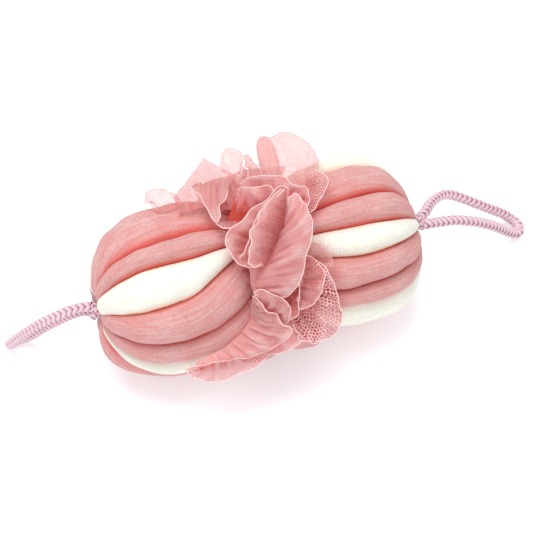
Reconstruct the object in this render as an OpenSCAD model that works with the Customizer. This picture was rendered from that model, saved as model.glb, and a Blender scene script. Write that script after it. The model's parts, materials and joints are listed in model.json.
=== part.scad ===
// Double-ball body scrubber: two melon-shaped balls of stuffed knitted sleeves, a gathered
// net ruffle round the waist between them, and a braided cord that ends in a loop at each pole.
// The long axis lies along X, the scrubber rests on the plane z = 0, and the balls mirror each other.

/* [Balls] */
// Diameter of each ball over the crests of its sleeves
ball_d = 120; // [110:1:130]
// Distance from the waist to the widest section of a ball
ball_offset = 66; // [65:0.5:70]
// Distance from a ball's widest section to the outer ends of its sleeves
pole_reach = 54; // [50:0.5:58]
// Height of the long axis above the resting plane
axis_h = 59; // [58:0.1:59.4]
// How blunt a ball is towards the waist; 2 makes that side round
waist_bluntness = 2.5; // [2.3:0.1:2.6]
// Thickness of a stuffed sleeve where it is tied off
sleeve_end_t = 6; // [5:0.5:7]
// Extra thickness of a stuffed sleeve at the widest section of the ball
sleeve_swell = 22; // [16:0.5:24]
// Thickness of the knitted sleeve itself
knit_t = 1; // [0.6:0.1:1.4]
// How far the left ball's sleeves bunch towards its front, in degrees
left_bunching = 6; // [0:1:15]
// How far the right ball's sleeves bunch towards its front, in degrees
right_bunching = 15; // [0:1:15]
// Turn of the left ball about the long axis, in degrees
left_turn = -2; // [-2:0.5:2]
// Turn of the right ball about the long axis, in degrees
right_turn = 2; // [-2:0.5:2]

/* [Waist] */
// Outer diameter of the gathered net ruffle
ruffle_d = 164; // [150:1:170]
// Thickness of one gathered tier of net
net_t = 0.7; // [0.5:0.1:0.8]
// Outer radius of the cord wound round the ruffle at the waist
ruffle_tie_r = 13.4; // [13:0.1:13.6]
// Outer radius of the inner binding round the sleeves
waist_tie_r = 11.4; // [11:0.1:11.6]

/* [Cord] */
// Diameter of the braided cord
cord_d = 5.6; // [5:0.1:6]
// Distance from the waist to the knot that each loop hangs from
knot_offset = 117; // [116.5:0.1:118]
// Diameter of the knot at each pole
knot_d = 9.4; // [9:0.1:9.6]

/* [Hidden] */
SLEEVES = 12;
PITCH = 360 / SLEEVES;
ball_r = ball_d / 2;
front_angle = 212;
bottom_from_front = 150;
sleeve_gap_angle = 0.5;
foam_gap = 0.1;
foam_inset_angle = 1.8;
first_a = 8;
last_a = 165;
foam_first_a = 9;
foam_last_a = 163.4;
steps = 13;
cord_r = cord_d / 2;
cord_sides = 10;
channel_r = 9.5;
pole_s = knot_offset - 6;

pink = "lightpink";
cream = "ivory";
cord_colour = "thistle";

LEFT = -1;
RIGHT = 1;

// Route of the braided cord in the right loop, in millimetres
right_route = [
    [122.5, 3.2, 60], [126, 8, 58], [131, 14, 55], [138, 20, 51], [146, 24.5, 46.5],
    [153.5, 25.5, 42], [162, 23.5, 36.5], [172, 20.5, 29.5], [183, 18.5, 20.5], [193, 17, 12],
    [200, 14, 5.5], [203.5, 8.5, 3.2], [201, 2.5, 4], [194.5, 0.5, 9], [185.5, -0.5, 19],
    [176, -1.5, 30], [166, -2, 39], [155, -2, 46.5], [144, -1.5, 51.5], [133, -2, 55],
    [127, -2.5, 57], [122.5, -3.2, 58.5]
];
// Route of the braided cord in the left loop, in millimetres
left_route = [
    [-122.5, 1.5, 62.4], [-129, 2.5, 63], [-137.5, 3.5, 61.5], [-147.5, 5, 56.5],
    [-158.5, 8, 47.5], [-168, 12, 35.5], [-175.5, 17, 22], [-180, 21.5, 10.5],
    [-180.5, 24.5, 4.4], [-175, 24.8, 3.2], [-169, 22.5, 6], [-163, 19, 12.5],
    [-155.5, 14.5, 23], [-147, 10.5, 34], [-138, 7.5, 44], [-129.5, 4.5, 51.5],
    [-122.5, 1.5, 56.6]
];

// Places a shape drawn about Z on the long axis: its +Z points along +X (or -X on the left)
module on_axis(side) {
    translate([0, 0, axis_h])
        mirror([side == LEFT ? 1 : 0, 0, 0])
            rotate([0, 90, 0])
                children();
}

// Point of the outer outline of a ball, [radius, distance from the waist], shrunk by inset
function outline_point(a, inset) =
    a < 90
        ? let (power = 2 / waist_bluntness)
          [(ball_r - inset) * pow(sin(a), power), ball_offset - (ball_r - inset) * pow(cos(a), power)]
        : [(ball_r - inset) * sin(a), ball_offset - (pole_reach - inset) * cos(a)];

// Point of the inner outline of a sleeve, grown by inset
function inner_point(a, inset) =
    let (
        outer = outline_point(a, 0),
        k = 1 - (sleeve_end_t + sleeve_swell * sin(a) - inset) / ball_r
    )
    [outer[0] * k, ball_offset + (outer[1] - ball_offset) * k];

// Angles of a half-section, from the waist end to the pole end
function angles(from, to) = [for (i = [0:steps]) from + (to - from) * i / steps];

// Closed half-section between the outer and the inner outline
module half_section(along, inset) {
    outer = [for (a = along) outline_point(a, inset)];
    inner = [for (a = along) inner_point(a, inset)];
    polygon(concat(outer, [for (i = [len(inner) - 1:-1:0]) inner[i]]));
}

// Half-section of one stuffed sleeve
module sleeve_section() {
    half_section(angles(first_a, last_a), 0);
}

// Half-section of the foam strip in a sleeve
module foam_section() {
    half_section(angles(foam_first_a, foam_last_a), knit_t + foam_gap);
}

// Half-section of the room inside a sleeve, which runs out through its waist end
module bore_section() {
    half_section(concat([first_a - 3], angles(foam_first_a, foam_last_a)), knit_t);
}

// Angle about the axis, from straight down, of the edge before sleeve number index (1 lies lowest)
function edge_angle(side, index) =
    let (
        even = bottom_from_front + (index - 1.5) * PITCH,
        bunching = side == LEFT ? left_bunching : right_bunching,
        turn = side == LEFT ? left_turn : right_turn
    )
    front_angle + turn + even - bunching * sin(even);

// Segment of a ball about its axis between the edges of sleeve number index, of a half-section
module segment(side, index, inset_angle) {
    from = edge_angle(side, index) + inset_angle;
    to = edge_angle(side, index + 1) - inset_angle;
    rotate([0, 0, from])
        rotate_extrude(angle = to - from, $fn = 96)
            children();
}

// Half-space above the resting plane, as one large block
module above_floor(lift) {
    translate([-200, -200, lift])
        cube([400, 400, 300]);
}

// One knitted sleeve: a closed tube wall, open at the waist where it runs through to its twin
module sleeve(side, index) {
    if (index == 1)
        intersection() {
            above_floor(0);
            difference() {
                on_axis(side)
                    segment(side, index, sleeve_gap_angle / 2)
                        sleeve_section();
                intersection() {
                    above_floor(knit_t);
                    on_axis(side)
                        sleeve_bore(side, index);
                }
            }
        }
    else
        on_axis(side)
            difference() {
                segment(side, index, sleeve_gap_angle / 2)
                    sleeve_section();
                sleeve_bore(side, index);
            }
}

// Room inside a sleeve, which runs out through its waist end
module sleeve_bore(side, index) {
    segment(side, index, foam_inset_angle - foam_gap)
        bore_section();
}

module coloured_sleeve(side, index) {
    color(index % 3 == 2 ? cream : pink)
        sleeve(side, index);
}

// Foam strip inside a sleeve; the lowest one is pressed flat like its sleeve
module foam_strip(side, index) {
    if (index == 1)
        intersection() {
            above_floor(knit_t + foam_gap);
            on_axis(side)
                foam_segment(side, index);
        }
    else
        on_axis(side)
            foam_segment(side, index);
}

module foam_segment(side, index) {
    segment(side, index, foam_inset_angle)
        foam_section();
}

module foam_strips(side) {
    color("lightyellow")
        for (index = [1:SLEEVES])
            foam_strip(side, index);
}

// Length of the braided cord inside a ball, from the waist to the pole
module core_cord(side) {
    neck_end = 17.5;
    color(cord_colour)
        on_axis(side)
            translate([0, 0, neck_end])
                cylinder(r = cord_r, h = pole_s - neck_end, $fn = 48);
}

// Whipping that ties the sleeves' ends round the cord at a pole
module pole_binding(side) {
    length = 7;
    bore_r = cord_r + 0.2;
    color(cord_colour)
        on_axis(side)
            translate([0, 0, pole_s - length])
                difference() {
                    cylinder(r = channel_r, h = length, $fn = 64);
                    translate([0, 0, -1])
                        cylinder(r = bore_r, h = length + 2, $fn = 48);
                }
}

// Sleeves gathered tight round the cord where they pass through the waist
module neck(side) {
    near = 3.2;
    shoulder = 9;
    far = 16.5;
    full_r = 8.8;
    tip_r = 5;
    color(pink)
        on_axis(side)
            rotate_extrude($fn = 64)
                polygon([[0, near], [full_r, near], [full_r, shoulder], [tip_r, far], [0, far]]);
}

// Ring about the long axis at the waist
module waist_ring(inner_r, outer_r, half_w) {
    on_axis(RIGHT)
        translate([0, 0, -half_w])
            difference() {
                cylinder(r = outer_r, h = 2 * half_w, $fn = 72);
                translate([0, 0, -1])
                    cylinder(r = inner_r, h = 2 * half_w + 2, $fn = 72);
            }
}

// Inner binding that pulls the sleeves in at the waist
module waist_binding() {
    color(cord_colour)
        waist_ring(waist_tie_r - 1.6, waist_tie_r, 2.2);
}

// Short middle of the braided cord, inside the waist binding
module waist_cord() {
    half = 1.9;
    color(cord_colour)
        on_axis(RIGHT)
            translate([0, 0, -half])
                cylinder(r = cord_r, h = 2 * half, $fn = 48);
}

// Cord wound round the gathers of the ruffle
module ruffle_tie() {
    color(cord_colour)
        waist_ring(waist_tie_r + 0.4, ruffle_tie_r, 1.6);
}

// Flat middle tier of net, cut by the resting plane where it lies on it
module ruffle_middle_tier() {
    color(pink)
        intersection() {
            above_floor(0);
            waist_ring(ruffle_tie_r + 0.2, ruffle_d / 2, net_t / 2);
        }
}

// Net of a side tier: flat near the waist, then lying over the shoulder of its ball
module side_tier(side) {
    rest_s = net_t / 2 + 0.2;
    inner_r = ruffle_tie_r + 0.2;
    outer_r = ruffle_d / 2;
    flat_r = 26;
    flare = 26;
    path = [
        for (i = [0:8])
            let (t = i / 8)
            [flat_r + (outer_r - flat_r) * t, rest_s + flare * pow(t, 2.4)]
    ];
    back = [for (i = [8:-1:0]) [path[i][0], path[i][1] + net_t]];
    color(pink)
        intersection() {
            above_floor(0);
            on_axis(side)
                rotate_extrude($fn = 96)
                    polygon(concat([[inner_r, rest_s]], path, back, [[inner_r, rest_s + net_t]]));
        }
}

// Knot at a pole that the loop pivots on
module end_knot(side) {
    color(cord_colour)
        on_axis(side)
            translate([0, 0, knot_offset])
                sphere(r = knot_d / 2, $fn = 48);
}

function unit(v) = v / norm(v);

// Direction of a route at point i
function heading(route, i) =
    let (last = len(route) - 1)
    unit(route[min(i + 1, last)] - route[max(i - 1, 0)]);

// Sideways vectors carried along a route, each at right angles to the route there
function carried(route, side, i = 0) =
    let (
        t = heading(route, i),
        v = unit(side - (side * t) * t)
    )
    i == len(route) - 1 ? [v] : concat([v], carried(route, v, i + 1));

// Cord swept along a route as one closed solid
module cord_tube(route) {
    last = len(route) - 1;
    sides = carried(route, [0, 0, 1]);
    points = [
        for (i = [0:last])
            let (
                u = sides[i],
                v = cross(heading(route, i), u)
            )
            for (k = [0:cord_sides - 1])
                let (a = 360 * k / cord_sides)
                route[i] + cord_r * (cos(a) * u + sin(a) * v)
    ];
    walls = [
        for (i = [0:last - 1])
            for (k = [0:cord_sides - 1])
                let (
                    n = (k + 1) % cord_sides,
                    base = i * cord_sides,
                    next = base + cord_sides
                )
                [base + k, next + k, next + n, base + n]
    ];
    start_cap = [for (k = [0:cord_sides - 1]) k];
    end_cap = [for (k = [cord_sides - 1:-1:0]) last * cord_sides + k];
    polyhedron(points = points, faces = concat([start_cap], walls, [end_cap]));
}

module left_loop() {
    color(cord_colour)
        cord_tube(left_route);
}

module right_loop() {
    color(cord_colour)
        cord_tube(right_route);
}

coloured_sleeve(LEFT, 1);  // left_sleeve_01
coloured_sleeve(LEFT, 2);  // left_sleeve_02
coloured_sleeve(LEFT, 3);  // left_sleeve_03
coloured_sleeve(LEFT, 4);  // left_sleeve_04
coloured_sleeve(LEFT, 5);  // left_sleeve_05
coloured_sleeve(LEFT, 6);  // left_sleeve_06
coloured_sleeve(LEFT, 7);  // left_sleeve_07
coloured_sleeve(LEFT, 8);  // left_sleeve_08
coloured_sleeve(LEFT, 9);  // left_sleeve_09
coloured_sleeve(LEFT, 10);  // left_sleeve_10
coloured_sleeve(LEFT, 11);  // left_sleeve_11
coloured_sleeve(LEFT, 12);  // left_sleeve_12
coloured_sleeve(RIGHT, 1);  // right_sleeve_01
coloured_sleeve(RIGHT, 2);  // right_sleeve_02
coloured_sleeve(RIGHT, 3);  // right_sleeve_03
coloured_sleeve(RIGHT, 4);  // right_sleeve_04
coloured_sleeve(RIGHT, 5);  // right_sleeve_05
coloured_sleeve(RIGHT, 6);  // right_sleeve_06
coloured_sleeve(RIGHT, 7);  // right_sleeve_07
coloured_sleeve(RIGHT, 8);  // right_sleeve_08
coloured_sleeve(RIGHT, 9);  // right_sleeve_09
coloured_sleeve(RIGHT, 10);  // right_sleeve_10
coloured_sleeve(RIGHT, 11);  // right_sleeve_11
coloured_sleeve(RIGHT, 12);  // right_sleeve_12
foam_strips(LEFT);  // left_foam_strips
foam_strips(RIGHT);  // right_foam_strips
core_cord(LEFT);  // left_core_cord
core_cord(RIGHT);  // right_core_cord
pole_binding(LEFT);  // left_pole_binding
pole_binding(RIGHT);  // right_pole_binding
neck(LEFT);  // left_neck
neck(RIGHT);  // right_neck
waist_binding();
waist_cord();
ruffle_tie();
side_tier(LEFT);  // ruffle_left_tier
ruffle_middle_tier();
side_tier(RIGHT);  // ruffle_right_tier
end_knot(LEFT);  // left_end_knot
end_knot(RIGHT);  // right_end_knot
left_loop();
right_loop();
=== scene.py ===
"""The looks of a double-ball body scrubber: stuffed knitted sleeves, a net ruffle and braided loops."""

import json
import math

import bpy
import numpy as np
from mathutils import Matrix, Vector


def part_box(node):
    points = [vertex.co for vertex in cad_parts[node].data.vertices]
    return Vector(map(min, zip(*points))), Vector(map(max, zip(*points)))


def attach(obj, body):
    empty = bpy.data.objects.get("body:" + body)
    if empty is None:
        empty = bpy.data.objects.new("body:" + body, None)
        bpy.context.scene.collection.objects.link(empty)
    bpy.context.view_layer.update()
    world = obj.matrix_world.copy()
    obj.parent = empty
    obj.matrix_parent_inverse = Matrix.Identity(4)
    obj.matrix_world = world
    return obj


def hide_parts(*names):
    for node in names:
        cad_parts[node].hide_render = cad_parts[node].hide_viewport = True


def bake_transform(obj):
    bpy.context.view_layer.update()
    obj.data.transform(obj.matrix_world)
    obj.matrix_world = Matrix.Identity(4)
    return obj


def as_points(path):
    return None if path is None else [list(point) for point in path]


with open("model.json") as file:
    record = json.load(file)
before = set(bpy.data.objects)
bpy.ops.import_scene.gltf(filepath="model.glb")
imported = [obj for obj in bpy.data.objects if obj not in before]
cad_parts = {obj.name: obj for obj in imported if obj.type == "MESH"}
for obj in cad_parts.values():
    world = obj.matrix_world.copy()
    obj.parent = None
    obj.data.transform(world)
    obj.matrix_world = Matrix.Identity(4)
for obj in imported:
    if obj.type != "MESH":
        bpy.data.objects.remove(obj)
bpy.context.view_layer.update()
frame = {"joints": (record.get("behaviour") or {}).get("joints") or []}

MM = 0.001
LEFT, RIGHT = -1, 1
SIDE_NAME = {LEFT: "left", RIGHT: "right"}


# ---------------------------------------------------------------- sizes

def joint_place(name):
    """Where a joint of the frame turns."""
    return next(joint["pos_m"] for joint in frame["joints"] if joint["name"] == name)


AXIS_H = joint_place("waist_twist")[2]
KNOT_S = joint_place("right_loop_lift")[0]
BINDING_NEAR, BINDING_FAR = (corner.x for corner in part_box("right_pole_binding"))

# The balls, on the CAD sleeves' axis and radius; their reach and bluntness at each end are given here
BALL_R = 60 * MM
BALL_S = 66 * MM
POLE_REACH = {LEFT: 55 * MM, RIGHT: 47 * MM}
POLE_DRAWN_IN = {LEFT: 0, RIGHT: 3.5 * MM}
WAIST_REACH = {LEFT: 63 * MM, RIGHT: 60 * MM}
WAIST_BLUNTNESS, POLE_BLUNTNESS = 2.6, 2.4
SLEEVE_END_T = 6 * MM
SLEEVE_SWELL = 22 * MM
SLEEVES = 12
PITCH = math.radians(360 / SLEEVES)
FRONT = math.radians(212)
BOTTOM_FROM_FRONT = math.radians(150)
BUNCHING = {LEFT: math.radians(6), RIGHT: math.radians(15)}
TURN = {LEFT: math.radians(-2), RIGHT: math.radians(2)}


def edge_angle(side, index):
    """Angle about the axis, from straight down, of the edge before a sleeve; sleeve 1 lies lowest."""
    even = BOTTOM_FROM_FRONT + (index - 1.5) * PITCH
    return FRONT + TURN[side] + even - BUNCHING[side] * math.sin(even)


# How the creases wander from the CAD edges, in degrees: all along a ball, only towards its waist, and only
# towards its pole
CREASE_SHIFT = {
    (LEFT, 1): (-8, 0), (LEFT, 3): (-6, 0), (LEFT, 4): (-14, 0), (LEFT, 5): (-22, 0), (LEFT, 6): (-24, 0),
    (LEFT, 7): (4, 0), (LEFT, 8): (-3, -5), (LEFT, 9): (0, -20), (LEFT, 10): (3, -8), (LEFT, 11): (-3, 0, -4),
    (LEFT, 12): (-15, 0, -12), (RIGHT, 5): (-6, 0), (RIGHT, 6): (-9, 0), (RIGHT, 8): (1, -6),
    (RIGHT, 9): (-1, -5), (RIGHT, 11): (-8, 0),
}


def crease_angle(side, index, s):
    """Angle of the crease before a sleeve, at a distance s from the waist."""
    index = (index - 1) % SLEEVES + 1
    everywhere, at_waist, at_pole = (CREASE_SHIFT.get((side, index), ()) + (0, 0, 0))[:3]
    to_waist = np.clip((BALL_S - s) / (BALL_S - 24 * MM), 0, 1.2) ** 1.6
    to_pole = np.clip((s - BALL_S - 14 * MM) / (POLE_REACH[side] - 18 * MM), 0, 1) ** 1.2
    wander = 1.2 * np.sin(s / (17 * MM) + 2.4 * index + side)
    return edge_angle(side, index) + np.radians(everywhere + at_waist * to_waist + at_pole * to_pole + wander)


def outline(a, side):
    """(distance from the waist, radius) of a ball's outside; a runs from 0 at the waist to pi at the pole."""
    sine, cosine = np.sin(a), np.abs(np.cos(a))
    power = np.where(a < math.pi / 2, 2 / WAIST_BLUNTNESS, 2 / POLE_BLUNTNESS)
    reach = np.where(a < math.pi / 2, -WAIST_REACH[side], POLE_REACH[side])
    return BALL_S + reach * cosine**power, BALL_R * sine**power


# Sleeves that belly out near the pole, by how much, and where along the ball (an angle, pi at the pole)
FULLER = {(LEFT, 12): 6 * MM, (LEFT, 1): 3 * MM}
FULLEST_A, FULLER_SPREAD, FULLER_OUTWARD = 2.6, 0.35, 0.2


def is_cream(index):
    return index % 3 == 2


def together(*values):
    """Values side by side on a last axis, each spread over the whole grid."""
    return np.stack(np.broadcast_arrays(*values), axis=-1)


def about_axis(s, r, phi, side=RIGHT):
    """Points at a distance s from the waist and r from the long axis, at an angle from straight down."""
    return together(side * s, r * np.sin(phi), AXIS_H - r * np.cos(phi))


# ---------------------------------------------------------------- mesh helpers

def grid_faces(rows, columns, wrap_rows=False, wrap_columns=False):
    """Quads of a grid of points numbered row by row."""
    row = np.arange(rows if wrap_rows else rows - 1)[:, None]
    column = np.arange(columns if wrap_columns else columns - 1)[None, :]
    next_row = (row + 1) % rows
    next_column = (column + 1) % columns
    corners = [
        row * columns + column,
        row * columns + next_column,
        next_row * columns + next_column,
        next_row * columns + column,
    ]
    return together(*corners).reshape(-1, 4)


def mesh_piece(name, points, quads, material, weave=None, triangles=()):
    """A smooth mesh piece.

    weave holds (along, around, shade) at each point, and for net the crest of its folds too, which drives its
    painted light and shade.
    """
    mesh = bpy.data.meshes.new(name)
    faces = [tuple(q) for q in quads.tolist()] + [tuple(t) for t in triangles]
    mesh.from_pydata(points.reshape(-1, 3).tolist(), [], faces)
    mesh.polygons.foreach_set("use_smooth", np.ones(len(faces), dtype=bool))
    if weave is not None:
        weave = np.asarray(weave, dtype=np.float32).reshape(-1, weave.shape[-1])
        layer = mesh.attributes.new("weave", "FLOAT_VECTOR", "POINT")
        layer.data.foreach_set("vector", np.ascontiguousarray(weave[:, :3]).ravel())
        if weave.shape[1] > 3:
            crest = mesh.attributes.new("crest", "FLOAT", "POINT")
            crest.data.foreach_set("value", np.ascontiguousarray(weave[:, 3]))
    mesh.materials.append(material)
    mesh.update()
    piece = bpy.data.objects.new(name, mesh)
    bpy.context.scene.collection.objects.link(piece)
    return piece


class Parts:
    """Several grids or tubes that are joined into one piece."""

    def __init__(self):
        self.points, self.quads, self.ends, self.weave = [], [], [], []
        self.count = 0

    def add(self, points, quads, ends, weave):
        points = points.reshape(-1, 3)
        self.points.append(points)
        self.quads.append(quads + self.count)
        self.ends += [tuple(i + self.count for i in end) for end in ends]
        self.weave.append(weave.reshape(-1, weave.shape[-1]))
        self.count += len(points)

    def piece(self, name, material):
        return mesh_piece(name, np.vstack(self.points), np.vstack(self.quads), material,
                          np.vstack(self.weave), self.ends)


def smooth_line(points, count):
    """A smooth curve (Catmull-Rom, even steps) through a few points."""
    p = np.asarray(points, float)
    p = np.vstack([2 * p[0] - p[1], p, 2 * p[-1] - p[-2]])
    fine = []
    for i in range(1, len(p) - 2):
        t = np.linspace(0, 1, 16, endpoint=False)[:, None]
        a, b, c, d = p[i - 1], p[i], p[i + 1], p[i + 2]
        fine.append(0.5 * (2 * b + (c - a) * t + (2 * a - 5 * b + 4 * c - d) * t**2
                           + (3 * b - a - 3 * c + d) * t**3))
    fine = np.vstack(fine + [p[-2:-1]])
    reach = np.concatenate([[0], np.cumsum(np.linalg.norm(np.diff(fine, axis=0), axis=1))])
    even = np.linspace(0, reach[-1], count)
    return np.stack([np.interp(even, reach, fine[:, k]) for k in range(3)], axis=1), reach[-1]


def carried_frames(line, side):
    """Unit heading, side and up vectors at each point of a line, carried along without twisting."""
    heading = np.gradient(line, axis=0)
    heading /= np.linalg.norm(heading, axis=1)[:, None]
    sides = np.zeros_like(line)
    last = np.asarray(side, float)
    for i, t in enumerate(heading):
        last = last - last.dot(t) * t
        last /= np.linalg.norm(last)
        sides[i] = last
    return heading, sides, np.cross(heading, sides)


def waves(rng, count, low, high):
    """Random plane waves for gentle unevenness: frequencies, phases and weights."""
    turn = rng.uniform(0, 2 * math.pi, count)
    rate = 2 * math.pi / rng.uniform(low, high, count)
    return rate * np.cos(turn), rate * np.sin(turn), rng.uniform(0, 2 * math.pi, count)


def unevenness(wave, u, v):
    """Value from about -1 to 1 at (u, v), in the waves' own units."""
    total = sum(np.sin(a * u + b * v + c) for a, b, c in zip(*wave))
    return total / math.sqrt(len(wave[0]))


# ---------------------------------------------------------------- node helpers

class Shader:
    """A material being wired: each call adds a node and returns its output."""

    def __init__(self, name):
        self.material = bpy.data.materials.new(name)
        self.material.use_nodes = True
        self.tree = self.material.node_tree
        self.principled = self.tree.nodes["Principled BSDF"]
        self.output = self.tree.nodes["Material Output"]

    def node(self, kind, inputs=None, **settings):
        node = self.tree.nodes.new("ShaderNode" + kind)
        for key, value in settings.items():
            setattr(node, key, value)
        for key, value in (inputs or {}).items():
            self.feed(node.inputs[key], value)
        return node

    def feed(self, socket, value):
        if isinstance(value, bpy.types.NodeSocket):
            self.tree.links.new(value, socket)
        else:
            socket.default_value = value

    def weave(self):
        """(along, around, shade) of the surface, in millimetres for the first two."""
        weave = self.node("Attribute", attribute_name="weave").outputs["Vector"]
        split = self.node("SeparateXYZ", {0: weave})
        return split.outputs[0], split.outputs[1], split.outputs[2]

    def math(self, operation, a, b=0.0, c=0.0, clamp=False):
        return self.node("Math", {0: a, 1: b, 2: c}, operation=operation, use_clamp=clamp).outputs[0]

    def times(self, a, b, clamp=False):
        return self.math("MULTIPLY", a, b, clamp=clamp)

    def point(self, x, y, z=0.0):
        return self.node("CombineXYZ", {0: x, 1: y, 2: z}).outputs[0]

    def noise(self, vector, scale, detail=2.0):
        return self.node("TexNoise", {"Vector": vector, "Scale": scale, "Detail": detail}).outputs["Fac"]

    def ramp(self, fac, low, high):
        """0 below low, 1 above high, and smooth between."""
        node = self.node("MapRange", {"Value": fac, "From Min": low, "From Max": high},
                         interpolation_type="SMOOTHSTEP")
        return node.outputs[0]

    def mix(self, fac, a, b):
        return self.node("Mix", {0: fac, 6: a, 7: b}, data_type="RGBA").outputs[2]

    def bump(self, height, strength, distance):
        settings = {"Height": height, "Strength": strength, "Distance": distance}
        return self.node("Bump", settings).outputs["Normal"]

    def finish(self, colour, roughness, normal=None, sheen=0.0):
        self.feed(self.principled.inputs["Base Color"], colour)
        self.feed(self.principled.inputs["Roughness"], roughness)
        self.feed(self.principled.inputs["Sheen Weight"], sheen)
        self.feed(self.principled.inputs["Sheen Roughness"], 0.4)
        self.feed(self.principled.inputs["Sheen Tint"], (1, 1, 1, 1))
        self.feed(self.principled.inputs["Specular IOR Level"], 0.3)
        if normal is not None:
            self.feed(self.principled.inputs["Normal"], normal)
        return self.material


def srgb(red, green, blue):
    """Linear colour of an sRGB one given from 0 to 255."""
    def linear(value):
        value /= 255
        return value / 12.92 if value <= 0.04045 else ((value + 0.055) / 1.055) ** 2.4
    return (linear(red), linear(green), linear(blue), 1.0)


# ---------------------------------------------------------------- materials

NET_FINE_MM, NET_COARSE_MM, NET_RIB_MM = 1.6, 2.9, 2.6
NET_PALE = srgb(250, 222, 219)
NET_PINK = srgb(242, 188, 185)
NET_ROSE = srgb(234, 152, 152)
NET_THREAD = srgb(250, 218, 216)
# Painted shade, deep in the folds and near the waist
NET_DEEP_SHADE = srgb(226, 100, 88)
# Tints of what shows through the holes, as painted shade under the net: faint for fine net, stronger for open
# mesh
NET_SEEN_THROUGH = srgb(254, 238, 236)
NET_SHADED = srgb(230, 176, 182)
NET_EDGE = srgb(250, 222, 219)


# How much painted shade darkens the knit where a ball turns down to the surface that it lies on
UNDER_SHADE = 0.35


def knit_material(name, crest, dark, crease, streak_and_shade_strength):
    """Ribbed tubular knit: ribs across the sleeve, broken streaks along it, painted shade and glow in the
    creases, painted shade near the floor, and a paler crest that is partly a painted highlight.
    """
    shader = Shader(name)
    along, around, shade = shader.weave()
    wobble = shader.noise(shader.point(shader.times(along, 0.12), around), 0.35)
    # lower_side picks the side of a sleeve whose crease gets the stronger painted glow
    lower_side = shader.ramp(around, -3.0, 3.0)
    rib_phase = shader.math("ADD", shader.times(along, 2 * math.pi / RIB_PITCH_MM),
                            shader.times(wobble, 4.0))
    rib = shader.math("MULTIPLY_ADD", shader.math("SINE", rib_phase), 0.5, 0.5)
    long_way = shader.point(shader.times(along, 0.07), around)
    streak = shader.ramp(shader.noise(long_way, 0.6, 3.0), 0.4, 0.62)
    short_way = shader.point(shader.times(along, 0.3), around)
    fleck = shader.ramp(shader.noise(short_way, 1.3, 2.0), 0.5, 0.68)
    patch = shader.ramp(shader.noise(shader.point(along, around), 0.09, 2.0), 0.42, 0.62)
    # The knit darkens away from its crest: partly the knit stretched over the crest, partly a painted
    # highlight along it
    crest_line = shader.ramp(shade, 0.82, 0.99)
    cloth = shader.mix(shader.times(streak, 0.6 * streak_and_shade_strength), crest, dark)
    cloth = shader.mix(shader.times(fleck, 0.5 * streak_and_shade_strength), cloth, dark)
    off_crest = shader.math("SUBTRACT", 1.0, crest_line)
    cloth = shader.mix(shader.times(off_crest, 0.35 * streak_and_shade_strength), cloth, dark)
    # Painted shade: the knit darkens towards the floor
    height_up = shader.node("SeparateXYZ", {0: shader.node("TexCoord").outputs["Object"]}).outputs[2]
    near_floor_shade = shader.times(shader.ramp(height_up, 0.06, 0.015), UNDER_SHADE * streak_and_shade_strength)
    cloth = shader.mix(near_floor_shade, cloth, dark)
    between_ribs = shader.math("SUBTRACT", 1.0, rib)
    gaps = shader.times(between_ribs, shader.math("MULTIPLY_ADD", patch, 0.4, 0.12))
    cloth = shader.mix(shader.times(gaps, streak_and_shade_strength, clamp=True), cloth, dark)
    # Painted shade and glow in the creases: under and above mix in the crease colour, more on the sleeve's
    # underside
    under = shader.times(shader.ramp(shade, 0.9, 0.72), 0.9)
    above = shader.times(shader.ramp(shade, 0.84, 0.7), 0.6)
    deep = shader.math("ADD", shader.times(under, lower_side),
                       shader.times(above, shader.math("SUBTRACT", 1.0, lower_side)), clamp=True)
    colour = shader.mix(deep, cloth, crease)
    height = shader.math("SUBTRACT", shader.times(rib, 0.4), shader.times(streak, 0.5))
    height = shader.math("SUBTRACT", height, shader.times(fleck, 0.6))
    normal = shader.bump(height, 0.7, 0.35 * MM)
    return shader.finish(colour, 0.85, normal, sheen=0.15)


def braid_material():
    """Yarn of the braided cord: fine twisted fibres along each strand, and painted shade on the strands'
    flanks and in the hollows between.
    """
    shader = Shader("braided_yarn")
    along, around, shade = shader.weave()
    twisted = shader.point(shader.times(along, 0.5), shader.times(around, 3.0))
    fibre = shader.noise(twisted, 2.2, 3.0)
    # Painted shade: the yarn darkens from a strand's crown into the hollows between strands
    colour = shader.mix(shader.ramp(shade, 0.9, 0.45), srgb(226, 200, 209), srgb(172, 110, 134))
    dark_fibre = shader.times(shader.ramp(fibre, 0.45, 0.7), 0.4)
    colour = shader.mix(dark_fibre, colour, srgb(196, 138, 156))
    normal = shader.bump(fibre, 0.5, 0.2 * MM)
    return shader.finish(colour, 0.85, normal, sheen=0.3)


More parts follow.
